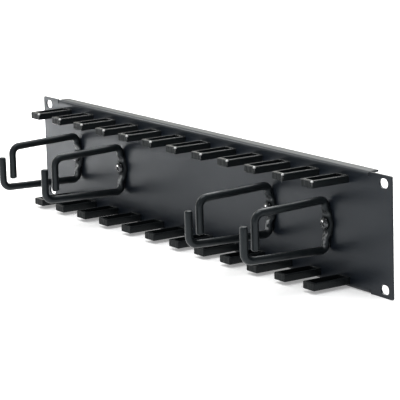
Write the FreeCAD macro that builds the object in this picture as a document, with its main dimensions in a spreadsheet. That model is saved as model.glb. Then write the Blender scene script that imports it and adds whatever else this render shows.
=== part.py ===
import FreeCAD, Part
import Sketcher
import math
import os
import re

# Horizontal cable manager for a 19 inch rack, 2 units high: a folded panel that carries two rows of
# snap-in fingers and four open wire rings, each ring held by one screw and nut.
#
# Frame: X to the right, Y to the rear, Z up. The origin is the middle of the mounting slots on the
# ears' rear face, which seats on the rack. Each body is drawn in a frame of its own that has Y = 0 on
# the panel's front face, and make_body sets it in its place.

# Driving dimensions in millimetres: alias, value, meaning. Heights are above the panel's lower edge.
DIMENSIONS = [
    ("panel_width", 482.6, "ear end to ear end, 19 inch"),
    ("panel_height", 88.1, "two rack units less the usual gap"),
    ("sheet_thickness", 1.5, "steel sheet of the panel"),
    ("bend_radius", 2.5, "outside radius of the flange bends"),
    ("ear_width", 24.7, "ear from the panel's end to the notch beside the flanges"),
    ("flange_depth", 9.4, "front face to the flanges' rear edge"),
    ("relief_width", 1.4, "notch between a flange's end and the ear"),
    ("relief_depth", 3.2, "that notch, from the panel's edge"),
    ("ear_corner_radius", 1.2, "rounded corners of the ears"),
    ("slot_inset_x", 8.75, "middle of a mounting slot from the panel's end"),
    ("slot_inset_z", 5.95, "middle of a mounting slot from the panel's upper or lower edge"),
    ("slot_length", 9.7, "mounting slot along X, over its round ends"),
    ("slot_height", 7.0, "mounting slot along Z"),
    ("fingers_per_row", 12, "fingers in each row"),
    ("row_left_inset", 14.93, "middle of the first finger from the flanges' left end"),
    ("row_right_inset", 28.93, "middle of the last finger from the flanges' right end"),
    ("top_row_inset", 8.7, "middle of the top fingers from the panel's upper edge"),
    ("bottom_row_inset", 5.2, "middle of the bottom fingers from the panel's lower edge"),
    ("finger_width", 13.2, "finger along X"),
    ("finger_height", 5.6, "finger along Z"),
    ("finger_length", 32.5, "panel face to fingertip"),
    ("finger_rim", 1.3, "side and rear walls of the finger's trough"),
    ("finger_front_wall", 2.6, "wall between the trough and the fingertip"),
    ("finger_edge_chamfer", 0.45, "long edges of a finger"),
    ("finger_tip_chamfer", 0.4, "upright edges at the fingertip"),
    ("trough_depth", 3.6, "trough, from the finger's top"),
    ("opening_width", 10.0, "panel opening for a finger's snap legs, along X"),
    ("opening_height", 3.6, "panel opening for a finger's snap legs, along Z"),
    ("snap_clearance", 0.12, "gap round the snap legs, and between their barbs and the sheet"),
    ("snap_leg_width", 2.4, "one snap leg along X"),
    ("snap_length", 5.2, "panel's front face to the end of the snap legs"),
    ("barb_width", 0.7, "how far a barb stands out past its leg"),
    ("barb_length", 2.2, "slope of a barb along Y"),
    ("wire_diameter", 6.0, "wire of the rings"),
    ("wire_end_chamfer", 0.9, "the wire's two ends"),
    ("ring_drop", 1.4, "middle between a ring's arms, below the panel's middle"),
    ("ring_back_height", 37.4, "arm to arm at the panel, between centre lines"),
    ("ring_front_height", 32.9, "arm to arm at the front, between centre lines"),
    ("upper_reach", 65.2, "panel face to the centre line of the leg that turns down"),
    ("lower_reach", 74.8, "panel face to the centre line of the leg that turns up"),
    ("upper_leg_end", 10.0, "end of the leg that turns down, below the ring's middle"),
    ("lower_leg_end", 9.2, "end of the leg that turns up, above the ring's middle"),
    ("front_bend_radius", 6.5, "wire bends at the front, on the centre line"),
    ("back_bend_radius", 5.0, "wire bends at the panel, on the centre line"),
    ("eye_rise", 1.0, "eye above the ring's middle"),
    ("eye_diameter", 12.6, "flattened eye that takes the screw"),
    ("eye_thickness", 3.0, "flattened eye along Y"),
    ("eye_neck_width", 2.0, "where the eye's outline ends inside the round wire"),
    ("eye_flat", 13.2, "length of wire that is pressed flat"),
    ("eye_ramp", 3.6, "length over which the wire is round again, at each end of the flat"),
    ("screw_diameter", 5.0, "thread of the ring screws"),
    ("screw_length", 12.0, "ring screw under its head"),
    ("screw_chamfer", 0.6, "end of the ring screw"),
    ("screw_clearance", 0.15, "gap round the screw in the eye and in the panel"),
    ("thread_clearance", 0.02, "gap round the screw in the nut"),
    ("head_diameter", 9.2, "pan head of the ring screws"),
    ("head_height", 3.0, "pan head of the ring screws"),
    ("head_side_height", 1.2, "upright side of the pan head"),
    ("head_face_diameter", 6.4, "flat front of the pan head"),
    ("recess_length", 4.8, "cross recess, tip to tip"),
    ("recess_width", 1.1, "one bar of the cross recess"),
    ("recess_depth", 1.8, "cross recess"),
    ("nut_width", 8.0, "flange nut across its flats"),
    ("nut_height", 4.7, "flange nut with its flange"),
    ("nut_flange_diameter", 11.6, "flange of the nut"),
    ("nut_flange_height", 1.1, "flange of the nut"),
]

# Each ring stands in the gap after the finger with this number.
RING_AFTER_FINGER = {"ring_1": 1, "ring_2": 3, "ring_3": 9, "ring_4": 11}
# The wire is drawn with flats in place of its round, which keeps the four rings' facets few.
WIRE_SIDES = 12
ROWS = ("top", "bottom")
ALIASES = {alias for alias, value, meaning in DIMENSIONS}
PARTS_FOLDER = "parts"
SAME_PLACE = 1e-4

# Expressions that more than one piece uses.
FLANGE_LENGTH = "( panel_width - 2 * ( ear_width + relief_width ) )"
FIRST_FINGER_X = f"( row_left_inset - {FLANGE_LENGTH} / 2 )"
ROW_LENGTH = f"( {FLANGE_LENGTH} - row_left_inset - row_right_inset )"
ROW_Z = {"top": "( panel_height - top_row_inset )", "bottom": "bottom_row_inset"}
EYE_Z = "( panel_height / 2 - ring_drop + eye_rise )"
SCREW_HOLE = "( screw_diameter + 2 * screw_clearance )"

doc = FreeCAD.newDocument("cable_manager")
sheet = doc.addObject("Spreadsheet::Sheet", "dims")


# ---------------------------------------------------------------- expressions

def fill_sheet():
    """Give each driving dimension a row of its own and an alias."""
    for row, (alias, value, meaning) in enumerate(DIMENSIONS, start=1):
        sheet.set(f"A{row}", alias)
        sheet.set(f"B{row}", str(value))
        sheet.set(f"C{row}", meaning)
        sheet.setAlias(f"B{row}", alias)
    doc.recompute()


def with_sheet(expression):
    """Put the sheet's name before each alias in an expression."""
    return re.sub(r"[a-z]\w*", lambda word: f"dims.{word[0]}" if word[0] in ALIASES else word[0],
                  expression)


def value_of(expression):
    return float(sheet.evalExpression(with_sheet(expression)))


def vector_at(point):
    """A sketch point that two expressions give."""
    return FreeCAD.Vector(value_of(point[0]), value_of(point[1]), 0)


def row_x(place):
    """Along a finger row: 0 is the first finger's middle, 1 the next one's, and a half a gap's."""
    return f"( {FIRST_FINGER_X} + {ROW_LENGTH} * {place} / ( fingers_per_row - 1 ) )"


def ring_x(ring):
    return row_x(RING_AFTER_FINGER[ring] - 0.5)


# ---------------------------------------------------------------- sketches

def make_body(name, x="0", z="0"):
    """A body whose frame lies on the panel's front face, at a place along it and a height."""
    body = doc.addObject("PartDesign::Body", name)
    body.Label = name
    body.setExpression("Placement.Base.x", with_sheet(x))
    body.setExpression("Placement.Base.y", with_sheet("- sheet_thickness"))
    body.setExpression("Placement.Base.z", with_sheet(f"{z} - panel_height / 2"))
    return body


def make_sketch(body, name, role, offset="0"):
    """A sketch on one of the body's own origin planes, moved along the plane's normal."""
    plane = next(item for item in body.Origin.OriginFeatures if item.Role == role)
    sketch = body.newObject("Sketcher::SketchObject", f"{body.Name}_{name}")
    sketch.AttachmentSupport = [(plane, "")]
    sketch.MapMode = "FlatFace"
    sketch.setExpression("AttachmentOffset.Base.z", with_sheet(offset))
    return sketch


def bind(sketch, kind, *elements, expression):
    """Add a dimension that follows an expression."""
    index = sketch.addConstraint(Sketcher.Constraint(kind, *elements, value_of(expression)))
    sketch.setExpression(f"Constraints[{index}]", with_sheet(expression))


def pin_point(sketch, geometry, vertex, point):
    """Hold a vertex at two expressions; "0" puts it on the sketch's own axis."""
    for expression, kind, axis in ((point[0], "DistanceX", -2), (point[1], "DistanceY", -1)):
        if expression == "0":
            sketch.addConstraint(Sketcher.Constraint("PointOnObject", geometry, vertex, axis))
        else:
            bind(sketch, kind, -1, 1, geometry, vertex, expression=expression)


def draw_circle(sketch, point, diameter):
    radius = value_of(diameter) / 2
    circle = sketch.addGeometry(Part.Circle(vector_at(point), FreeCAD.Vector(0, 0, 1), radius), False)
    pin_point(sketch, circle, 3, point)
    bind(sketch, "Diameter", circle, expression=diameter)


def bend_points(before, corner, after, radius):
    """Start, middle and end of the arc that rounds a corner."""
    inward = (before - corner).normalize()
    outward = (after - corner).normalize()
    half_angle = inward.getAngle(outward) / 2
    bisector = (inward + outward).normalize()
    tangent_length = radius / math.tan(half_angle)
    middle = corner + bisector * (radius / math.sin(half_angle) - radius)
    return corner + inward * tangent_length, middle, corner + outward * tangent_length


def join_to_arc(sketch, line, line_end, arc):
    """Make a line's end run smoothly into the nearer end of an arc."""
    place = sketch.getPoint(line, line_end)
    arc_end = min((1, 2), key=lambda end: sketch.getPoint(arc, end).distanceToPoint(place))
    sketch.addConstraint(Sketcher.Constraint("Tangent", line, line_end, arc, arc_end))


def draw_outline(sketch, points, radii=None, closed=True):
    """Straight runs through points, with a tangent arc wherever a point has a radius."""
    count = len(points)
    radii = radii or [None] * count
    corners = [vector_at(point) for point in points]
    turns = [(corners[index],) * 3 if radius is None else
             bend_points(corners[index - 1], corners[index], corners[(index + 1) % count],
                         value_of(radius))
             for index, radius in enumerate(radii)]
    lines = [sketch.addGeometry(
        Part.LineSegment(turns[index][2], turns[(index + 1) % count][0]), False)
        for index in range(count if closed else count - 1)]
    for index, (point, radius) in enumerate(zip(points, radii)):
        arriving = lines[index - 1] if closed or index > 0 else None
        leaving = lines[index] if closed or index < count - 1 else None
        if radius is not None:
            corner = sketch.addGeometry(Part.Point(corners[index]), True)
            pin_point(sketch, corner, 1, point)
            arc = sketch.addGeometry(Part.Arc(*turns[index]), False)
            for line, line_end in ((arriving, 2), (leaving, 1)):
                sketch.addConstraint(Sketcher.Constraint("PointOnObject", corner, 1, line))
                join_to_arc(sketch, line, line_end, arc)
            bind(sketch, "Radius", arc, expression=radius)
        elif leaving is None:
            pin_point(sketch, arriving, 2, point)
        else:
            pin_point(sketch, leaving, 1, point)
            if arriving is not None:
                sketch.addConstraint(Sketcher.Constraint("Coincident", arriving, 2, leaving, 1))


def draw_polygon(sketch, centre_y, sides, across_flats):
    """A regular polygon whose middle lies on the sketch's Y axis, with a flat at its top."""
    radius = f"{across_flats} / 2 / cos( {180 / sides} deg )"
    angles = [360 * (index + 0.5) / sides for index in range(sides)]
    draw_outline(sketch, [
        (f"{radius} * sin( {angle} deg )", f"{centre_y} + {radius} * cos( {angle} deg )")
        for angle in angles])


def draw_rectangle(sketch, left, right, low, high):
    draw_outline(sketch, [(left, low), (right, low), (right, high), (left, high)])


def draw_slot(sketch, x, z):
    """A mounting slot along X with half-round ends."""
    half_run = "( slot_length - slot_height ) / 2"
    centres = [(f"{x} + {half_run}", z), (f"{x} - {half_run}", z)]
    east, west = (vector_at(centre) for centre in centres)
    up = FreeCAD.Vector(0, value_of("slot_height") / 2, 0)
    across = FreeCAD.Vector(up.y, 0, 0)
    lines = [sketch.addGeometry(Part.LineSegment(west + step, east + step), False)
             for step in (up, up * -1)]
    for centre, place, bulge in ((centres[0], east, across), (centres[1], west, across * -1)):
        arc = sketch.addGeometry(Part.Arc(place + up, place + bulge, place - up), False)
        pin_point(sketch, arc, 3, centre)
        for line in lines:
            near_end = 2 if bulge.x > 0 else 1
            join_to_arc(sketch, line, near_end, arc)
    bind(sketch, "Radius", arc, expression="slot_height / 2")



# ---------------------------------------------------------------- features

def add_pad(body, sketch, length, midplane=False, backwards=False):
    feature = body.newObject("PartDesign::Pad", f"{sketch.Name}_pad")
    feature.Profile = sketch
    feature.setExpression("Length", with_sheet(length))
    feature.Midplane = midplane
    feature.Reversed = backwards
    doc.recompute()
    return feature


def add_pocket(body, sketch, depth, midplane=False, backwards=False):
    """Cut a sketch out of the body, and stop if that takes nothing away."""
    before = body.Shape.Volume
    feature = body.newObject("PartDesign::Pocket", f"{sketch.Name}_pocket")
    feature.Profile = sketch
    feature.setExpression("Length", with_sheet(depth))
    feature.Midplane = midplane
    feature.Reversed = backwards
    doc.recompute()
    if not feature.Shape.Volume < before:
        raise RuntimeError(f"{feature.Name} cuts nothing")
    return feature


def add_revolution(body, sketch):
    """Turn a sketch about its own horizontal axis."""
    feature = body.newObject("PartDesign::Revolution", f"{sketch.Name}_revolution")
    feature.Profile = sketch
    feature.ReferenceAxis = (sketch, ["H_Axis"])
    feature.Angle = 360
    doc.recompute()
    return feature


def add_chamfer(body, base, size, edge_test):
    """Take off each edge of a feature that passes a test."""
    feature = body.newObject("PartDesign::Chamfer", f"{base.Name}_chamfer")
    feature.Base = (base, [f"Edge{number}" for number, edge in enumerate(base.Shape.Edges, start=1)
                           if edge_test(edge)])
    feature.setExpression("Size", with_sheet(size))
    body.Tip = feature
    doc.recompute()
    return feature


# ---------------------------------------------------------------- pieces

def make_panel():
    """The folded sheet: web and ears, two flanges, and every hole that something goes through."""
    body = make_body("panel")
    ear_start, ear_end = "( panel_width / 2 - ear_width )", "( panel_width / 2 )"
    web_low, web_top = "relief_depth", "( panel_height - relief_depth )"
    round_off = "ear_corner_radius"

    flat = make_sketch(body, "flat", "XZ_Plane")
    draw_outline(flat, [
        (f"- {ear_end}", "0"), (f"- {ear_start}", "0"), (f"- {ear_start}", web_low),
        (ear_start, web_low), (ear_start, "0"), (ear_end, "0"),
        (ear_end, "panel_height"), (ear_start, "panel_height"), (ear_start, web_top),
        (f"- {ear_start}", web_top), (f"- {ear_start}", "panel_height"),
        (f"- {ear_end}", "panel_height"),
    ], [round_off, None, None, None, None, round_off, round_off, None, None, None, None, round_off])
    add_pad(body, flat, "sheet_thickness", backwards=True)

    section = make_sketch(body, "section", "YZ_Plane")
    outside, inside = "bend_radius", "bend_radius - sheet_thickness"
    ceiling = "panel_height - sheet_thickness"
    draw_outline(section, [
        ("0", "0"), ("flange_depth", "0"), ("flange_depth", "sheet_thickness"),
        ("sheet_thickness", "sheet_thickness"), ("sheet_thickness", ceiling),
        ("flange_depth", ceiling), ("flange_depth", "panel_height"), ("0", "panel_height"),
    ], [outside, None, None, inside, inside, None, None, outside])
    add_pad(body, section, FLANGE_LENGTH, midplane=True)

    slots = make_sketch(body, "slots", "XZ_Plane")
    for side in ("", "- "):
        for z in ("slot_inset_z", "panel_height - slot_inset_z"):
            draw_slot(slots, f"{side}( panel_width / 2 - slot_inset_x )", z)
    add_pocket(body, slots, "sheet_thickness")

    screw_holes = make_sketch(body, "screw_holes", "XZ_Plane")
    for ring in RING_AFTER_FINGER:
        draw_circle(screw_holes, (ring_x(ring), EYE_Z), SCREW_HOLE)
    add_pocket(body, screw_holes, "sheet_thickness")

    for row in ROWS:
        opening = make_sketch(body, f"{row}_opening", "XZ_Plane")
        draw_rectangle(opening, f"{row_x(0)} - opening_width / 2", f"{row_x(0)} + opening_width / 2",
                       f"{ROW_Z[row]} - opening_height / 2", f"{ROW_Z[row]} + opening_height / 2")
        cut = add_pocket(body, opening, "sheet_thickness")
        pattern = body.newObject("PartDesign::LinearPattern", f"{row}_openings")
        pattern.Originals = [cut]
        pattern.Direction = (opening, ["H_Axis"])
        pattern.setExpression("Length", with_sheet(ROW_LENGTH))
        pattern.setExpression("Occurrences", with_sheet("fingers_per_row"))
        body.Tip = pattern
        doc.recompute()
    return body


def make_finger(name, x, z):
    """A moulded finger: a bar with an open trough, and two barbed snap legs behind."""
    body = make_body(name, x, z)
    side, top = "( finger_width / 2 )", "( finger_height / 2 )"
    bar = make_sketch(body, "bar", "XZ_Plane")
    draw_rectangle(bar, f"- {side}", side, f"- {top}", top)
    block = add_pad(body, bar, "finger_length")

    middle_y = -value_of("finger_length") / 2
    tip = add_chamfer(body, block, "finger_tip_chamfer", lambda edge:
                      edge.BoundBox.ZLength > edge.Length / 2 and edge.CenterOfMass.y < middle_y)
    add_chamfer(body, tip, "finger_edge_chamfer", lambda edge:
                edge.BoundBox.ZLength < edge.Length / 2 and edge.BoundBox.YMin < middle_y)

    trough = make_sketch(body, "trough", "XY_Plane", offset=top)
    draw_rectangle(trough, f"- ( {side} - finger_rim )", f"{side} - finger_rim",
                   "- ( finger_length - finger_front_wall )", "- finger_rim")
    add_pocket(body, trough, "trough_depth")

    legs = make_sketch(body, "legs", "XY_Plane")
    outside = "( opening_width / 2 - snap_clearance )"
    root, shoulder = "- finger_rim / 2", "( sheet_thickness + snap_clearance )"
    for sign in ("", "- "):
        draw_outline(legs, [
            (f"{sign}( {outside} - snap_leg_width )", root), (f"{sign}{outside}", root),
            (f"{sign}{outside}", shoulder), (f"{sign}( {outside} + barb_width )", shoulder),
            (f"{sign}{outside}", f"{shoulder} + barb_length"), (f"{sign}{outside}", "snap_length"),
            (f"{sign}( {outside} - snap_leg_width )", "snap_length"),
        ])
    add_pad(body, legs, "opening_height - 2 * snap_clearance", midplane=True)
    return body


def make_ring(name, x):
    """A bent wire whose open ends pass each other, pressed flat round its screw. Z = 0 is the eye."""
    body = make_body(name, x, EYE_Z)
    middle, back = "- eye_rise", "- wire_diameter / 2"
    start_z = f"{middle} - upper_leg_end"
    path = make_sketch(body, "path", "YZ_Plane")
    draw_outline(path, [
        ("- upper_reach", start_z),
        ("- upper_reach", f"{middle} + ring_front_height / 2"),
        (back, f"{middle} + ring_back_height / 2"),
        (back, f"{middle} - ring_back_height / 2"),
        ("- lower_reach", f"{middle} - ring_front_height / 2"),
        ("- lower_reach", f"{middle} + lower_leg_end"),
    ], [None, "front_bend_radius", "back_bend_radius", "back_bend_radius", "front_bend_radius", None],
        closed=False)
    wire = make_sketch(body, "wire", "XY_Plane", offset=start_z)
    draw_polygon(wire, "- upper_reach", WIRE_SIDES, "wire_diameter")
    sweep = body.newObject("PartDesign::AdditivePipe", f"{name}_sweep")
    sweep.Profile = wire
    sweep.Spine = path
    doc.recompute()
    end_heights = [value_of(start_z), value_of(f"{middle} + lower_leg_end")]
    add_chamfer(body, sweep, "wire_end_chamfer", lambda edge: all(
        any(math.isclose(vertex.Z, height, abs_tol=SAME_PLACE) for height in end_heights)
        for vertex in edge.Vertexes))

    # The ramps run on to twice the depth, clear of the wire's front.
    press = make_sketch(body, "press", "YZ_Plane")
    clear_y = "- ( 2 * wire_diameter - eye_thickness )"
    flat_end, clear_end = "( eye_flat / 2 )", "( eye_flat / 2 + 2 * eye_ramp )"
    draw_outline(press, [
        ("- eye_thickness", f"- {flat_end}"), ("- eye_thickness", flat_end),
        (clear_y, clear_end), (clear_y, f"- {clear_end}"),
    ])
    add_pocket(body, press, "2 * wire_diameter", midplane=True)

    disc = make_sketch(body, "disc", "XZ_Plane")
    draw_circle(disc, ("0", "0"), "eye_diameter")
    add_pad(body, disc, "eye_thickness")
    necks = make_sketch(body, "necks", "XZ_Plane")
    side, neck_side = "eye_diameter / 2", "eye_neck_width / 2"
    neck_end = "( eye_flat / 2 + eye_ramp )"
    draw_outline(necks, [
        (side, "0"), (neck_side, neck_end), (f"- {neck_side}", neck_end),
        (f"- {side}", "0"), (f"- {neck_side}", f"- {neck_end}"), (neck_side, f"- {neck_end}"),
    ])
    add_pad(body, necks, "eye_thickness")
    hole = make_sketch(body, "hole", "XZ_Plane")
    draw_circle(hole, ("0", "0"), SCREW_HOLE)
    add_pocket(body, hole, "eye_thickness", backwards=True)
    return body


def make_screw(name, x):
    """A pan head screw with a cross recess. Its head seats on the front of the eye."""
    body = make_body(name, x, EYE_Z)
    head_front, head_back = "- eye_thickness - head_height", "- eye_thickness"
    tip = "( screw_length - eye_thickness )"
    head_side, thread_side = "head_diameter / 2", "screw_diameter / 2"
    profile = make_sketch(body, "profile", "YZ_Plane")
    draw_outline(profile, [
        (head_front, "0"), (head_front, "head_face_diameter / 2"),
        (f"{head_back} - head_side_height", head_side), (head_back, head_side),
        (head_back, thread_side), (f"{tip} - screw_chamfer", thread_side),
        (tip, f"{thread_side} - screw_chamfer"), (tip, "0"),
    ])
    add_revolution(body, profile)

    recess = make_sketch(body, "recess", "XZ_Plane", offset="eye_thickness + head_height")
    long, short = "recess_length / 2", "recess_width / 2"
    draw_outline(recess, [
        (long, short), (short, short), (short, long), (f"- {short}", long),
        (f"- {short}", short), (f"- {long}", short), (f"- {long}", f"- {short}"),
        (f"- {short}", f"- {short}"), (f"- {short}", f"- {long}"), (short, f"- {long}"),
        (short, f"- {short}"), (long, f"- {short}"),
    ])
    add_pocket(body, recess, "recess_depth")
    return body


def make_nut(name, x):
    """A flange nut behind the panel."""
    body = make_body(name, x, EYE_Z)
    flange = make_sketch(body, "flange", "XZ_Plane", offset="- sheet_thickness")
    draw_circle(flange, ("0", "0"), "nut_flange_diameter")
    add_pad(body, flange, "nut_flange_height", backwards=True)

    hexagon = make_sketch(body, "hexagon", "XZ_Plane", offset="- sheet_thickness")
    flat_side, half_flat, corner = "nut_width / 2", "nut_width / 2 / sqrt( 3 )", "nut_width / sqrt( 3 )"
    draw_outline(hexagon, [
        (flat_side, half_flat), ("0", corner), (f"- {flat_side}", half_flat),
        (f"- {flat_side}", f"- {half_flat}"), ("0", f"- {corner}"), (flat_side, f"- {half_flat}"),
    ])
    add_pad(body, hexagon, "nut_height", backwards=True)

    bore = make_sketch(body, "bore", "XZ_Plane", offset="- sheet_thickness")
    draw_circle(bore, ("0", "0"), "screw_diameter + 2 * thread_clearance")
    add_pocket(body, bore, "nut_height")
    return body


# ---------------------------------------------------------------- assembly

def make_group(name, members):
    """Like fasteners as one node of separate solids."""
    group = doc.addObject("Part::Compound", name)
    group.Label = name
    group.Links = members
    return group


def make_pieces():
    pieces = [make_panel()]
    for row in ROWS:
        for index in range(int(value_of("fingers_per_row"))):
            pieces.append(make_finger(f"finger_{row}_{index + 1:02d}", row_x(index), ROW_Z[row]))
    for ring in RING_AFTER_FINGER:
        pieces.append(make_ring(ring, ring_x(ring)))
    pieces.append(make_group("ring_screws", [
        make_screw(f"{ring}_screw", ring_x(ring)) for ring in RING_AFTER_FINGER]))
    pieces.append(make_group("ring_nuts", [
        make_nut(f"{ring}_nut", ring_x(ring)) for ring in RING_AFTER_FINGER]))
    return pieces


def check_document(pieces):
    """Stop on anything that didn't compute or isn't one sound solid."""
    doc.recompute()
    for item in doc.Objects:
        if {"Invalid", "Error"} & set(item.State):
            raise RuntimeError(f"{item.Name} didn't compute: {item.State}")
    for piece in pieces:
        shape = piece.Shape
        solids = len(getattr(piece, "Links", [piece]))
        if shape.isNull() or not shape.isValid() or len(shape.Solids) != solids:
            raise RuntimeError(f"{piece.Label} isn't sound, or has a stray solid")


def write_pieces(pieces):
    os.makedirs(PARTS_FOLDER, exist_ok=True)
    for piece in pieces:
        piece.Shape.exportStep(os.path.join(PARTS_FOLDER, f"{piece.Label}.step"))


fill_sheet()
all_pieces = make_pieces()
check_document(all_pieces)
write_pieces(all_pieces)
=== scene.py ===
"""Looks of the horizontal cable manager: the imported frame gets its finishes, the four rings are drawn as
round bent wire, their screws get a turned head and a thread, and a pale studio stands round them.

Everything is in the CAD frame. Lengths are metres in the studio and in Blender itself, and millimetres in
the constants and functions of the finishes, the rings and the screws."""

import math

import bmesh
import bpy
from mathutils import Matrix, Vector, noise


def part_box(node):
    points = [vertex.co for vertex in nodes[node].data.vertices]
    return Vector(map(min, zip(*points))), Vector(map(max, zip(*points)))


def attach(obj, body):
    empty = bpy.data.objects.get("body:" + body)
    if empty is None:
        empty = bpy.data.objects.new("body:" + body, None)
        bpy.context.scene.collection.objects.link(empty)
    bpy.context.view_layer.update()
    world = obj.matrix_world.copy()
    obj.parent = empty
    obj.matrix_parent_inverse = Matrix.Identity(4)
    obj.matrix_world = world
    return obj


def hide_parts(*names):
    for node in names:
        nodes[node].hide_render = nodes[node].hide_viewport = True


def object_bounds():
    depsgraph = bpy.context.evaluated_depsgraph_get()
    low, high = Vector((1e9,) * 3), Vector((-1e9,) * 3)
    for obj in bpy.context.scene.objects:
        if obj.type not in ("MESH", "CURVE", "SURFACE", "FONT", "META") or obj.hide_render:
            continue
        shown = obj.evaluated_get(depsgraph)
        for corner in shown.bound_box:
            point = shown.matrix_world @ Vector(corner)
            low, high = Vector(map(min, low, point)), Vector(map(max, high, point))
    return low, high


MM = 0.001

# Ring wire: Y from the panel's front face, Z from the middle between the arms. RING_SPACING is from one ring
# to the other of its pair, and RING_CREASE is in degrees.
WIRE_RADIUS = 3.0
WIRE_SIDES = 36
RING_ROUTE = [(-65.2, -10.0), (-65.2, 16.45), (-3.0, 18.7),
              (-3.0, -18.7), (-74.8, -16.45), (-74.8, 9.2)]
RING_BENDS = [6.5, 5.0, 5.0, 6.5]
BEND_STEPS = 14
LEG_STEP = 0.3
END_ROUNDING = 1.5
END_STEPS = 6
RING_CREASE = 45
RING_NUMBERS = (1, 2, 3, 4)
RING_SPACING = 70.28

# The eye that the press made of the back leg. NECK_SPREAD is how far the press widens the wire beside it,
# EYE_BLEND how tightly the disc and the wire run into each other. A section is round at a power of 2, and
# the press adds PRESS_SQUARING to the power.
EYE_HEIGHT = 1.0
EYE_RADIUS = 6.3
EYE_THICKNESS = 3.0
EYE_FLAT = 6.6
EYE_RAMP = 5.4
EYE_HOLE = 2.65
EYE_BLEND = 8
NECK_SPREAD = 1.7
PRESS_SQUARING = 1.6

# Dents beside the eye. DENT_SCALE is their noise's scale across and up the leg, DENT_DETAIL the share of finer
# noise in it, and the seeds tell the rings, and the finer noise, apart.
DENT_START = 5.5
DENT_RAMP = 2
DENT_DEPTH = 0.5
DENT_LEVEL = 0.15
DENT_SCALE = (0.55, 0.42)
DENT_DETAIL = 0.5
DENT_SEED = 3.7
DENT_DETAIL_SEED = 9

# Ring screws: Y from the front face of the eye, on which the head sits. HEAD_FLAT is the radius of the flat on
# its dome, HEAD_BREAK the broken edge at its foot, and the smaller HEAD_DOME is, the fuller the dome. The cross
# has RECESS_SCALES times its size above the head and at its bottom, and turns are in radians. THREAD_FADES are
# the lengths over which the thread begins and ends, and SCREW_LEVEL is the screws' height in the frame.
HEAD_RADIUS = 4.6
HEAD_INSIDE = 2.45
HEAD_SIDE = 1.0
HEAD_HEIGHT = 3.0
HEAD_FLAT = 0.3
HEAD_BREAK = 0.12
HEAD_DOME = 0.62
HEAD_STEPS = 10
HEAD_SIDES = 40
RECESS_LENGTH = 4.8
RECESS_WIDTH = 1.1
RECESS_DEPTH = 1.5
RECESS_EXCESS = 0.5
RECESS_SCALES = (1.6, 0.3)
RECESS_TURN = 0.58
RECESS_SWAY = 0.12
THREAD_RADIUS = 2.5
THREAD_DEPTH = 0.35
THREAD_PITCH = 0.8
THREAD_START = 4
THREAD_FADES = (0.6, 0.5)
THREAD_SLACK = 0.02
TIP_CHAMFER = 0.6
SHANK_SIDES = 28
STEPS_A_TURN = 8
SCREW_LENGTH = 12.0
SCREW_LEVEL = -0.4
SCREW_CREASE = 38
HOLE_SIDES = 32
CUTTER_EXCESS = 1

# Painted highlights on the fingers, the rings and the screws, and marks of use and of making, from where each
# one begins to where it is full. The rows, tips and faces of the fingers are in the frame, FINGER_RIGHT and
# FINGER_TOP are shares of a finger's width and height, and what belongs to a ring or a screw is measured from
# its own middle.
UPPER_ROW = (33, 36)
FINGER_TIP = (-32.3, -33.3)
FINGER_FACE = (-33.6, -33.9)
FINGER_RIGHT = (0.86, 0.93)
FINGER_TOP = (0.72, 0.86)
LEG_FRONT = (-7, -6)
LEG_LENGTH = (16, 13)
EYE_SURROUND = (8, 6)
HIGHLIGHT_PATCHES_BELOW = (-4.5, -6.5)
HIGHLIGHT_PATCHES_BESIDE = (2.8, 1.4)
HIGHLIGHT_PATCHES_NOISE = (0.42, 0.56)
GLINT_PLACE = (-0.2, 1.9)
GLINT_RADIUS = (1.1, 0.7)
GLINT_FRONT = (-5.8, -6.2)

# How strong those painted highlights and marks are: as a share of the pale highlight colour, as a height in the
# bump, and as a roughness.
CORNER_HIGHLIGHT, RIM_HIGHLIGHT = 0.8, 0.4
RIB_HEIGHT, PEEL_HEIGHT, PRESS_HEIGHT, HIGHLIGHT_PATCH_HEIGHT = 90, 0.1, 70, -2
FACE_ROUGHNESS, EYE_ROUGHNESS = 0.6, 0.75

# Noise that differs between objects is taken from anywhere in this span of its fourth coordinate.
NOISE_SPAN = 20
BEVEL_SAMPLES = 6

# Studio, in metres. A lamp has a place, a target, a width, a height, a power in watts and a spread in degrees.
LAMPS = {
    "behind": ((-0.62, 0.95, 1.2), (0, -0.05, 0), 1.3, 0.8, 19, 180),
    "front": ((0.6, -1.25, 0.5), (0, 0, 0), 0.1, 0.1, 1.5, 180),
    "overhead": ((0, -0.15, 1.6), (0, -0.15, 0), 1.4, 1.0, 18, 180),
    "left": ((-1.0, -0.3, 0.65), (0, -0.05, 0), 0.12, 0.12, 2, 180),
    "left_floor": ((-0.8, -0.45, 0.9), (-0.65, -0.15, -0.044), 0.25, 0.25, 2.8, 40),
}
FLOOR_HALF = 12.0
FLOOR_LIFT = 0.27
ROOM_BRIGHT_SIDE = (-0.9, 0.35, 0.25)
ROOM_GREY = (0.32, 0.33, 0.34, 1)
ROOM_WHITE = (1.15, 1.15, 1.08, 1)
CAMERA_PLACE = (1.4164, -0.9325, 0.34215)
CAMERA_TURN, CAMERA_DOWN, CAMERA_ROLL = 56.673, 11.744, -1.682
CAMERA_LENS, CAMERA_SENSOR, CAMERA_REACH = 198.84, 36, 60

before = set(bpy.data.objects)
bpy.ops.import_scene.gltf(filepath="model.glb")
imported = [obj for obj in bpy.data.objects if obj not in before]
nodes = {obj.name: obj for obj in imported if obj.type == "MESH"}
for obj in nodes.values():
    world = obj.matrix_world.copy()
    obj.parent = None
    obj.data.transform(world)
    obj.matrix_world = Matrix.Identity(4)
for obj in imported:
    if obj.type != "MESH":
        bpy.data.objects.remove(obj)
cad_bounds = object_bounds()


# ---------------------------------------------------------------- materials

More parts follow.
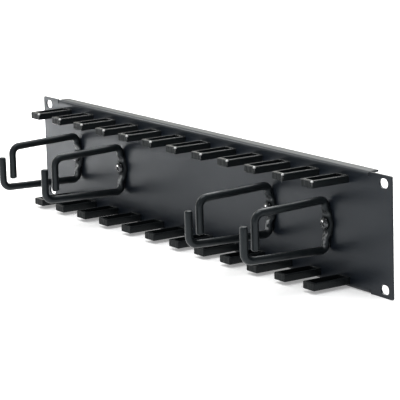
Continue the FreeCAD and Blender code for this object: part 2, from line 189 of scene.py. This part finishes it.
class Finish:
    """A Principled material and short calls for the nodes that feed it."""

    def __init__(self, name, **values):
        self.material = bpy.data.materials.new(name)
        self.material.use_nodes = True
        self.tree = self.material.node_tree
        self.shader = self.tree.nodes["Principled BSDF"]
        for socket, value in values.items():
            self.shader.inputs[socket.replace("_", " ")].default_value = value
        self.place = self.tree.nodes.new("ShaderNodeTexCoord").outputs["Object"]

    def node(self, kind, **values):
        made = self.tree.nodes.new(kind)
        for key, value in values.items():
            setattr(made, key, value)
        return made

    def link(self, source, target):
        self.tree.links.new(source, target)

    def noise(self, size, detail=3.0, stretch=(1, 1, 1), apart=False):
        """Noise with patches of about size. With apart it differs from one object to the next."""
        mapping = self.node("ShaderNodeMapping")
        mapping.inputs["Scale"].default_value = stretch
        self.link(self.place, mapping.inputs["Vector"])
        texture = self.node("ShaderNodeTexNoise")
        texture.inputs["Scale"].default_value = 1 / (size * MM)
        texture.inputs["Detail"].default_value = detail
        self.link(mapping.outputs["Vector"], texture.inputs["Vector"])
        if apart:
            texture.noise_dimensions = "4D"
            chance = self.node("ShaderNodeObjectInfo").outputs["Random"]
            self.link(self.math("MULTIPLY", chance, NOISE_SPAN), texture.inputs["W"])
        return texture.outputs["Fac"]

    def spread(self, source, low, high, start=0.3, end=0.7):
        """source from start to end becomes low to high."""
        ramp = self.node("ShaderNodeMapRange")
        for socket, value in zip(("From Min", "From Max", "To Min", "To Max"), (start, end, low, high)):
            ramp.inputs[socket].default_value = value
        self.link(source, ramp.inputs["Value"])
        return ramp.outputs["Result"]

    def mask(self, source, limits=(0.3, 0.7)):
        """0 where source is at the first limit or before it, 1 where it is at the second or past it."""
        return self.spread(source, 0, 1, *limits)

    def math(self, operation, *values):
        made = self.node("ShaderNodeMath", operation=operation)
        for socket, value in zip(made.inputs, values):
            if isinstance(value, (int, float)):
                socket.default_value = value
            else:
                self.link(value, socket)
        return made.outputs["Value"]

    def join(self, operation, first, *others):
        """One operation carried on through any number of values."""
        for other in others:
            first = self.math(operation, first, other)
        return first

    def product(self, *values):
        return self.join("MULTIPLY", *values)

    def total(self, *values):
        return self.join("ADD", *values)

    def most(self, *values):
        return self.join("MAXIMUM", *values)

    def colour(self, factor, dark, light):
        mix = self.node("ShaderNodeMix", data_type="RGBA")
        mix.inputs["A"].default_value = (*dark, 1)
        mix.inputs["B"].default_value = (*light, 1)
        self.link(factor, mix.inputs["Factor"])
        return mix.outputs["Result"]

    def over(self, factor, below, above):
        """The colour above laid over the colour below where factor is 1."""
        mix = self.node("ShaderNodeMix", data_type="RGBA")
        mix.inputs["B"].default_value = (*above, 1)
        self.link(factor, mix.inputs["Factor"])
        self.link(below, mix.inputs["A"])
        return mix.outputs["Result"]

    def along(self, axis):
        """The object's own coordinate along X, Y or Z."""
        split = self.node("ShaderNodeSeparateXYZ")
        self.link(self.place, split.inputs[0])
        return self.math("MULTIPLY", split.outputs[axis], 1 / MM)

    def off_middle(self, axis):
        return self.math("ABSOLUTE", self.along(axis))

    def share(self, axis):
        """The coordinate along X, Y or Z, from 0 to 1 across the object."""
        split = self.node("ShaderNodeSeparateXYZ")
        self.link(self.node("ShaderNodeTexCoord").outputs["Generated"], split.inputs[0])
        return split.outputs[axis]

    def rounded(self, radius):
        """The normal of the surface with its edges rounded."""
        bevel = self.node("ShaderNodeBevel", samples=BEVEL_SAMPLES)
        bevel.inputs["Radius"].default_value = radius * MM
        return bevel.outputs["Normal"]

    def edges(self, radius, start=0.8, end=0.99):
        """1 on edges and corners, 0 on flats: how far a rounded normal leans from the true one."""
        true = self.node("ShaderNodeNewGeometry")
        lean = self.node("ShaderNodeVectorMath", operation="DOT_PRODUCT")
        self.link(self.rounded(radius), lean.inputs[0])
        self.link(true.outputs["Normal"], lean.inputs[1])
        return self.spread(lean.outputs["Value"], 1, 0, start, end)

    def bump(self, source, depth, strength, edge=0.0):
        """A bump of the given depth, over edges rounded to a radius of edge."""
        made = self.node("ShaderNodeBump")
        made.inputs["Strength"].default_value = strength
        made.inputs["Distance"].default_value = depth * MM
        self.link(source, made.inputs["Height"])
        if edge:
            self.link(self.rounded(edge), made.inputs["Normal"])
        self.link(made.outputs["Normal"], self.shader.inputs["Normal"])

    def done(self, base, roughness):
        self.link(base, self.shader.inputs["Base Color"])
        self.link(roughness, self.shader.inputs["Roughness"])
        return self.material


def powder_coat():
    """Satin black powder coat: fine orange peel, faint cloudiness, thinner and brighter along the edges."""
    coat = Finish("powder_coat", IOR=1.37, Specular_Tint=(0.88, 0.94, 1.0, 1))
    cloud = coat.noise(60, 4)
    peel = coat.noise(0.9, 2)
    grain = coat.total(cloud, coat.product(coat.edges(0.5), 0.5))
    base = coat.colour(coat.mask(grain, (0.3, 1.1)), (0.006, 0.009, 0.014), (0.012, 0.015, 0.020))
    coat.bump(peel, 0.012, 0.5, edge=0.35)
    return coat.done(base, coat.spread(cloud, 0.31, 0.39))


def finger_plastic():
    """Glossy black moulded plastic with flow marks along the finger, and a dull, faintly ribbed tip face.
    The upper row's rims, and most of all its right tip corners, carry a painted highlight in pale colour."""
    plastic = Finish("finger_plastic", IOR=1.27, Specular_Tint=(0.94, 0.98, 1.0, 1))
    upper_row = plastic.mask(plastic.along("Z"), UPPER_ROW)
    top = plastic.mask(plastic.share("Z"), FINGER_TOP)
    # Painted highlight: the upper row's right tip corners and rim edges are coloured pale where the light from
    # behind catches them.
    corner = plastic.product(upper_row, plastic.mask(plastic.along("Y"), FINGER_TIP),
                             plastic.mask(plastic.share("X"), FINGER_RIGHT))
    painted_highlight = plastic.most(plastic.product(corner, top),
                          plastic.product(corner, plastic.edges(0.6), CORNER_HIGHLIGHT),
                          plastic.product(upper_row, top, plastic.edges(0.4), RIM_HIGHLIGHT))
    moulded = plastic.colour(plastic.edges(0.5), (0.009, 0.011, 0.012), (0.026, 0.027, 0.029))

    face = plastic.mask(plastic.along("Y"), FINGER_FACE)
    flow = plastic.noise(3, 3, stretch=(1, 0.25, 1))
    ribs = plastic.product(plastic.noise(2.4, 1, stretch=(1, 1, 0.15)), face)
    plastic.bump(plastic.total(flow, plastic.product(ribs, RIB_HEIGHT)), 0.02, 0.4, edge=0.8)
    gloss = plastic.spread(plastic.noise(14, 3), 0.2, 0.28)
    return plastic.done(plastic.over(painted_highlight, moulded, (0.8, 0.8, 0.8)),
                        plastic.most(plastic.product(face, FACE_ROUGHNESS), gloss))


def ring_coat():
    """Satin black coated wire. The press that flattened the back leg left it uneven and dulled the coat round
    the eye. Below the eye, pale patches dented into the coat are a painted highlight of the lower ramp."""
    coat = Finish("ring_coat", IOR=1.36, Specular_Tint=(0.86, 0.94, 1.0, 1))
    leg_front = coat.mask(coat.along("Y"), LEG_FRONT)
    leg = coat.product(leg_front, coat.mask(coat.off_middle("Z"), LEG_LENGTH))
    eye = coat.product(leg, coat.mask(coat.off_middle("Z"), EYE_SURROUND))
    # Painted highlight: pale patches below the eye stand in for the lower ramp catching the light; the bump
    # also dents them in.
    highlight_patches = coat.product(coat.mask(coat.noise(4.0, 1, apart=True), HIGHLIGHT_PATCHES_NOISE),
                         coat.mask(coat.off_middle("X"), HIGHLIGHT_PATCHES_BESIDE),
                         coat.mask(coat.along("Z"), HIGHLIGHT_PATCHES_BELOW), leg_front)

    cloud = coat.noise(9, 4)
    peel = coat.noise(1.2, 2)
    pressed = coat.product(coat.noise(2.2, 2, apart=True), leg)
    height = coat.total(coat.product(peel, PEEL_HEIGHT), coat.product(pressed, PRESS_HEIGHT),
                        coat.product(highlight_patches, HIGHLIGHT_PATCH_HEIGHT))
    coat.bump(height, 0.02, 0.5)
    sound = coat.colour(coat.mask(cloud), (0.005, 0.007, 0.008), (0.010, 0.012, 0.013))
    # The pale colour laid over the highlight patches is painted highlight.
    return coat.done(coat.over(highlight_patches, sound, (0.28, 0.285, 0.29)),
                     coat.most(coat.product(eye, EYE_ROUGHNESS), coat.spread(cloud, 0.3, 0.36)))


def black_steel():
    """Shiny blackened steel with turning marks, paler along its edges, with a painted glint: a near-white spot
    on each head's upper left. The screws stand one or three ring spacings apart, so a wrapped distance finds
    the same spot on each."""
    steel = Finish("black_steel", Metallic=1.0)
    marks = steel.noise(0.6, 3)
    # Painted glint: a near-white spot placed on each head where the highlight falls.
    low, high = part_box("ring_2")
    beside = steel.total(steel.along("X"), -GLINT_PLACE[0] - (low.x + high.x) / 2 / MM)
    beside = steel.math("WRAP", beside, RING_SPACING / 2, -RING_SPACING / 2)
    above = steel.total(steel.along("Z"), -GLINT_PLACE[1] - SCREW_LEVEL)
    away = steel.math("SQRT", steel.total(steel.product(beside, beside), steel.product(above, above)))
    painted_glint = steel.product(steel.mask(away, GLINT_RADIUS), steel.mask(steel.along("Y"), GLINT_FRONT))
    black = steel.colour(steel.edges(0.3), (0.07, 0.072, 0.075), (0.26, 0.26, 0.27))
    steel.bump(marks, 0.015, 0.5, edge=0.3)
    return steel.done(steel.over(painted_glint, black, (0.95, 0.95, 0.95)), steel.spread(marks, 0.14, 0.26))


def zinc_steel():
    """Bright zinc plate of the nuts, a little clouded."""
    steel = Finish("zinc_steel", Metallic=1.0)
    cloud = steel.noise(2.5, 4)
    base = steel.colour(steel.mask(cloud), (0.42, 0.43, 0.44), (0.6, 0.6, 0.61))
    steel.bump(cloud, 0.02, 0.4, edge=0.25)
    return steel.done(base, steel.spread(cloud, 0.25, 0.42))


# ---------------------------------------------------------------- meshes

def circle(sides):
    """The cosine and sine of every direction round a circle."""
    angles = [2 * math.pi * side / sides for side in range(sides)]
    return [(math.cos(angle), math.sin(angle)) for angle in angles]


def disc_section(radius, y, sides, height=0):
    """A circle across Y, round a middle at the given height."""
    return [(radius * cosine * MM, y * MM, (radius * sine + height) * MM) for cosine, sine in circle(sides)]


def smooth(value):
    value = min(max(value, 0.0), 1.0)
    return value * value * (3 - 2 * value)


def loft(built, sections):
    """A closed skin through sections of as many points each, added to built."""
    loops = [[built.verts.new(place) for place in section] for section in sections]
    sides = len(loops[0])
    for before, after in zip(loops, loops[1:]):
        for side in range(sides):
            beside = (side + 1) % sides
            built.faces.new((before[side], before[beside], after[beside], after[side]))
    built.faces.new(loops[0])
    built.faces.new(loops[-1])


def mesh_of(name, build, *values):
    """A mesh whose faces build(built, *values) adds."""
    mesh = bpy.data.meshes.new(name)
    built = bmesh.new()
    build(built, *values)
    bmesh.ops.recalc_face_normals(built, faces=built.faces)
    built.to_mesh(mesh)
    built.free()
    return mesh


def cut(mesh, cutter):
    """mesh with cutter's solid taken out of it."""
    whole = bpy.data.objects.new("whole", mesh)
    tool = bpy.data.objects.new("tool", cutter)
    for item in (whole, tool):
        bpy.context.scene.collection.objects.link(item)
    difference = whole.modifiers.new("cut", "BOOLEAN")
    difference.object, difference.operation, difference.solver = tool, "DIFFERENCE", "EXACT"
    bpy.context.view_layer.update()
    left = bpy.data.meshes.new_from_object(whole.evaluated_get(bpy.context.evaluated_depsgraph_get()))
    for item in (whole, tool):
        bpy.data.objects.remove(item)
    return left


def shade(mesh, crease):
    """Smooth shading, with a crease where faces meet at more than so many degrees."""
    mesh.shade_smooth()
    mesh.set_sharp_from_angle(angle=math.radians(crease))


def add_piece(name, mesh, material, node, place):
    piece = bpy.data.objects.new(name, mesh)
    bpy.context.scene.collection.objects.link(piece)
    piece.location = place
    mesh.materials.clear()
    mesh.materials.append(material)
    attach(piece, "root")
    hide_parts(node)


# ---------------------------------------------------------------- rings

def route_points():
    """The wire's centre line as (point, direction) in the Y-Z plane, with its bends divided."""
    corners = [Vector(point) for point in RING_ROUTE]
    stations = [(corners[0], (corners[1] - corners[0]).normalized())]
    for before, corner, after, bend in zip(corners, corners[1:], corners[2:], RING_BENDS):
        arriving, leaving = (corner - before).normalized(), (after - corner).normalized()
        turn = math.atan2(arriving.x * leaving.y - arriving.y * leaving.x, arriving.dot(leaving))
        to_centre = Vector((-arriving.y, arriving.x)) * math.copysign(bend, turn)
        centre = corner - arriving * bend * math.tan(abs(turn) / 2) + to_centre
        for step in range(BEND_STEPS + 1):
            swing = Matrix.Rotation(turn * step / BEND_STEPS, 2)
            stations.append((centre - swing @ to_centre, swing @ arriving))
    stations.append((corners[-1], (corners[-1] - corners[-2]).normalized()))
    return stations


def on_back_leg(point):
    return math.isclose(point.x, -WIRE_RADIUS, abs_tol=1e-6)


def ring_stations():
    """The route's stations, and more of them down the back leg, where the section changes."""
    route = route_points()
    stations = []
    for (point, direction), (following, _) in zip(route, route[1:]):
        stations.append((point, direction))
        if on_back_leg(point) and on_back_leg(following):
            count = int((following - point).length / LEG_STEP)
            stations += [(point.lerp(following, step / count), direction) for step in range(1, count)]
    stations.append(route[-1])
    return stations


def round_section(point, direction, radius):
    across = Vector((-direction.y, direction.x))
    section = []
    for cosine, sine in circle(WIRE_SIDES):
        middle = point + across * (radius * sine)
        section.append((radius * cosine * MM, middle.x * MM, middle.y * MM))
    return section


def press_section(height):
    """(half width, front face, power) of the pressed wire at a height above the eye's middle."""
    pressed = 1 - smooth((abs(height) - EYE_FLAT) / EYE_RAMP)
    front = -2 * WIRE_RADIUS + (2 * WIRE_RADIUS - EYE_THICKNESS) * pressed
    disc = math.sqrt(max(EYE_RADIUS ** 2 - height ** 2, 0))
    neck = WIRE_RADIUS + NECK_SPREAD * pressed
    half = (disc ** EYE_BLEND + neck ** EYE_BLEND) ** (1 / EYE_BLEND)
    return half, front, 2 + PRESS_SQUARING * pressed


def dent(x, height, seed):
    """How far the press and pliers pushed the front of the back leg in, most just past the flat eye."""
    reach = smooth((abs(height) - DENT_START) / DENT_RAMP)
    coarse = noise.noise(Vector((x * DENT_SCALE[0], height * DENT_SCALE[1], seed)))
    fine = noise.noise(Vector((x, height, seed + DENT_DETAIL_SEED)))
    return DENT_DEPTH * reach * max(0.0, coarse + DENT_DETAIL * fine + DENT_LEVEL)


def pressed_section(point, seed):
    height = point.y - EYE_HEIGHT
    half, front, power = press_section(height)
    section = []
    for across, outward in circle(WIRE_SIDES):
        x = half * math.copysign(abs(across) ** (2 / power), across)
        y = front / 2 * (1 - math.copysign(abs(outward) ** (2 / power), outward))
        if outward < 0:
            y += dent(x, height, seed) * -outward
        section.append((x * MM, y * MM, point.y * MM))
    return section


def end_sections(point, direction):
    """Ever smaller sections that round a wire end off. direction points into the wire."""
    sections = []
    for step in range(END_STEPS + 1):
        swing = math.pi / 2 * step / END_STEPS
        sections.append(round_section(point + direction * END_ROUNDING * (1 - math.sin(swing)), direction,
                                      WIRE_RADIUS - END_ROUNDING * (1 - math.cos(swing))))
    return sections


def eye_hole(built):
    """What the hole takes out of the eye."""
    loft(built, [disc_section(EYE_HOLE, y, HOLE_SIDES, EYE_HEIGHT)
                 for y in (CUTTER_EXCESS, -EYE_THICKNESS - CUTTER_EXCESS)])


def ring_mesh(name, seed):
    (first, start), *between, (last, end) = ring_stations()
    sections = end_sections(first, start)[::-1]
    for point, direction in between:
        sections.append(pressed_section(point, seed) if on_back_leg(point)
                        else round_section(point, direction, WIRE_RADIUS))
    # The last end's sections look back along the wire, so their points are taken the other way round.
    for section in end_sections(last, -end):
        sections.append([section[-side % WIRE_SIDES] for side in range(WIRE_SIDES)])
    mesh = cut(mesh_of(name, loft, sections), mesh_of("hole", eye_hole))
    mesh.name = name
    shade(mesh, RING_CREASE)
    return mesh


def make_rings(material):
    for number in RING_NUMBERS:
        node = f"ring_{number}"
        low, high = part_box(node)
        add_piece(f"{node}_wire", ring_mesh(f"{node}_wire", DENT_SEED * number), material, node,
                  ((low.x + high.x) / 2, high.y, (low.z + high.z) / 2))


# ---------------------------------------------------------------- screws

def head_profile():
    """(y, radius) of the domed head: up its side, round the shoulder and flat to the middle."""
    profile = [(0, HEAD_INSIDE), (0, HEAD_RADIUS - HEAD_BREAK),
               (-HEAD_BREAK, HEAD_RADIUS), (-HEAD_SIDE, HEAD_RADIUS)]
    for step in range(1, HEAD_STEPS):
        swing = math.pi / 2 * step / HEAD_STEPS
        profile.append((-HEAD_SIDE - (HEAD_HEIGHT - HEAD_SIDE) * math.sin(swing),
                        HEAD_FLAT + (HEAD_RADIUS - HEAD_FLAT) * math.cos(swing) ** HEAD_DOME))
    return profile + [(-HEAD_HEIGHT, HEAD_FLAT)]


def plain_head(built):
    loft(built, [disc_section(radius, y, HEAD_SIDES) for y, radius in head_profile()])


def cross_recess(built):
    """What the recess takes out of the head: a cross whose bars narrow towards the bottom."""
    outline = []
    long, short = RECESS_LENGTH / 2, RECESS_WIDTH / 2
    for quarter in range(4):
        turn = Matrix.Rotation(math.pi / 2 * quarter, 2)
        outline += [turn @ Vector(corner) for corner in ((short, short), (short, long), (-short, long))]
    levels = (-HEAD_HEIGHT - RECESS_EXCESS, -HEAD_HEIGHT + RECESS_DEPTH)
    loft(built, [[(corner.x * scale * MM, y * MM, corner.y * scale * MM) for corner in outline]
                 for y, scale in zip(levels, RECESS_SCALES)])


def threaded_shank(built):
    """The shank, plain in the panel and threaded to its chamfered end."""
    steps = int(SCREW_LENGTH / (THREAD_PITCH / STEPS_A_TURN))
    sections = []
    for step in range(steps + 1):
        y = SCREW_LENGTH * step / steps
        to_end = SCREW_LENGTH - y
        fade = smooth((y - THREAD_START) / THREAD_FADES[0]) * smooth(to_end / THREAD_FADES[1])
        tip = TIP_CHAMFER * max(0.0, 1 - to_end / TIP_CHAMFER)
        section = []
        for side, (cosine, sine) in enumerate(circle(SHANK_SIDES)):
            phase = (y / THREAD_PITCH - side / SHANK_SIDES) % 1
            groove = THREAD_DEPTH * fade * abs(2 * phase - 1)
            radius = THREAD_RADIUS - max(groove, tip) - THREAD_SLACK
            section.append((radius * cosine * MM, y * MM, radius * sine * MM))
        sections.append(section)
    loft(built, sections)


def make_screws(material):
    """One piece for the four screws, each seated on its ring's eye with its cross turned its own way."""
    head = cut(mesh_of("head", plain_head), mesh_of("cross", cross_recess))
    shank = mesh_of("shank", threaded_shank)
    low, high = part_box("ring_screws")
    joined = bmesh.new()
    for number in RING_NUMBERS:
        ring_low, ring_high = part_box(f"ring_{number}")
        turn = Matrix.Rotation(RECESS_TURN + RECESS_SWAY * (-1) ** number, 4, "Y")
        shift = Matrix.Translation(((ring_low.x + ring_high.x) / 2, low.y + HEAD_HEIGHT * MM,
                                    (low.z + high.z) / 2))
        for part in (head, shank):
            copy = part.copy()
            copy.transform(shift @ turn)
            joined.from_mesh(copy)
    mesh = bpy.data.meshes.new("ring_screws_turned")
    joined.to_mesh(mesh)
    joined.free()
    shade(mesh, SCREW_CREASE)
    add_piece("ring_screws_turned", mesh, material, "ring_screws", (0, 0, 0))


# ---------------------------------------------------------------- studio

def soft_light(name, place, target, width, height, watts, spread):
    lamp = bpy.data.objects.new(name, bpy.data.lights.new(name, "AREA"))
    bpy.context.scene.collection.objects.link(lamp)
    lamp.location = place
    lamp.rotation_euler = (Vector(target) - Vector(place)).to_track_quat("-Z", "Y").to_euler()
    lamp.visible_camera = False
    lamp.data.shape = "RECTANGLE"
    lamp.data.size, lamp.data.size_y, lamp.data.energy = width, height, watts
    lamp.data.spread = math.radians(spread)


def make_floor():
    """Pale paper. What looks straight at it, or mirrors it, sees it near white wherever no shadow is deep."""
    corners = [(x * FLOOR_HALF, y * FLOOR_HALF, cad_bounds[0][2])
               for x, y in ((-1, -1), (1, -1), (1, 1), (-1, 1))]
    mesh = mesh_of("floor", lambda built: built.faces.new([built.verts.new(corner) for corner in corners]))
    floor = bpy.data.objects.new("floor", mesh)
    bpy.context.scene.collection.objects.link(floor)
    paper = Finish("floor_paper", Specular_IOR_Level=0.1)
    base = paper.colour(paper.mask(paper.noise(400, 2)), (0.93, 0.93, 0.93), (0.95, 0.95, 0.95))
    path = paper.node("ShaderNodeLightPath")
    seen = paper.most(*(path.outputs[f"Is {kind} Ray"] for kind in ("Camera", "Glossy", "Transmission")))
    paper.shader.inputs["Emission Color"].default_value = (1, 1, 1, 1)
    paper.link(paper.product(seen, FLOOR_LIFT), paper.shader.inputs["Emission Strength"])
    mesh.materials.append(paper.done(base, paper.spread(paper.noise(30), 0.85, 0.95)))


def make_world():
    """A pale room, white behind the object on the left and greyer in front of it."""
    world = bpy.data.worlds.new("studio")
    bpy.context.scene.world = world
    world.use_nodes = True
    tree = world.node_tree
    place = tree.nodes.new("ShaderNodeTexCoord")
    toward = tree.nodes.new("ShaderNodeVectorMath")
    toward.operation = "DOT_PRODUCT"
    toward.inputs[1].default_value = Vector(ROOM_BRIGHT_SIDE).normalized()
    tree.links.new(place.outputs["Generated"], toward.inputs[0])
    ramp = tree.nodes.new("ShaderNodeMapRange")
    ramp.interpolation_type = "SMOOTHSTEP"
    tree.links.new(toward.outputs["Value"], ramp.inputs["Value"])
    room = tree.nodes.new("ShaderNodeMix")
    room.data_type = "RGBA"
    room.inputs["A"].default_value = ROOM_GREY
    room.inputs["B"].default_value = ROOM_WHITE
    tree.links.new(ramp.outputs["Result"], room.inputs["Factor"])
    tree.links.new(room.outputs["Result"], tree.nodes["Background"].inputs["Color"])


def make_camera():
    camera = bpy.data.objects.new("camera", bpy.data.cameras.new("camera"))
    bpy.context.scene.collection.objects.link(camera)
    camera.data.lens = CAMERA_LENS
    camera.data.sensor_width = CAMERA_SENSOR
    camera.data.clip_end = CAMERA_REACH
    turn, down, roll = (math.radians(angle) for angle in (CAMERA_TURN, CAMERA_DOWN, CAMERA_ROLL))
    camera.matrix_world = (Matrix.Translation(CAMERA_PLACE) @ Matrix.Rotation(turn, 4, "Z")
                           @ Matrix.Rotation(math.pi / 2 - down, 4, "X") @ Matrix.Rotation(roll, 4, "Z"))
    bpy.context.scene.camera = camera


def main():
    finishes = {"panel": powder_coat(), "finger": finger_plastic(),
                "screw": black_steel(), "nut": zinc_steel()}
    for name, node in nodes.items():
        for kind, finish in finishes.items():
            if kind in name:
                for slot in node.material_slots:
                    slot.material = finish
    make_rings(ring_coat())
    make_screws(finishes["screw"])
    make_floor()
    make_world()
    make_camera()
    for name, values in LAMPS.items():
        soft_light(name, *values)
    bpy.context.scene.view_settings.view_transform = "Standard"


main()
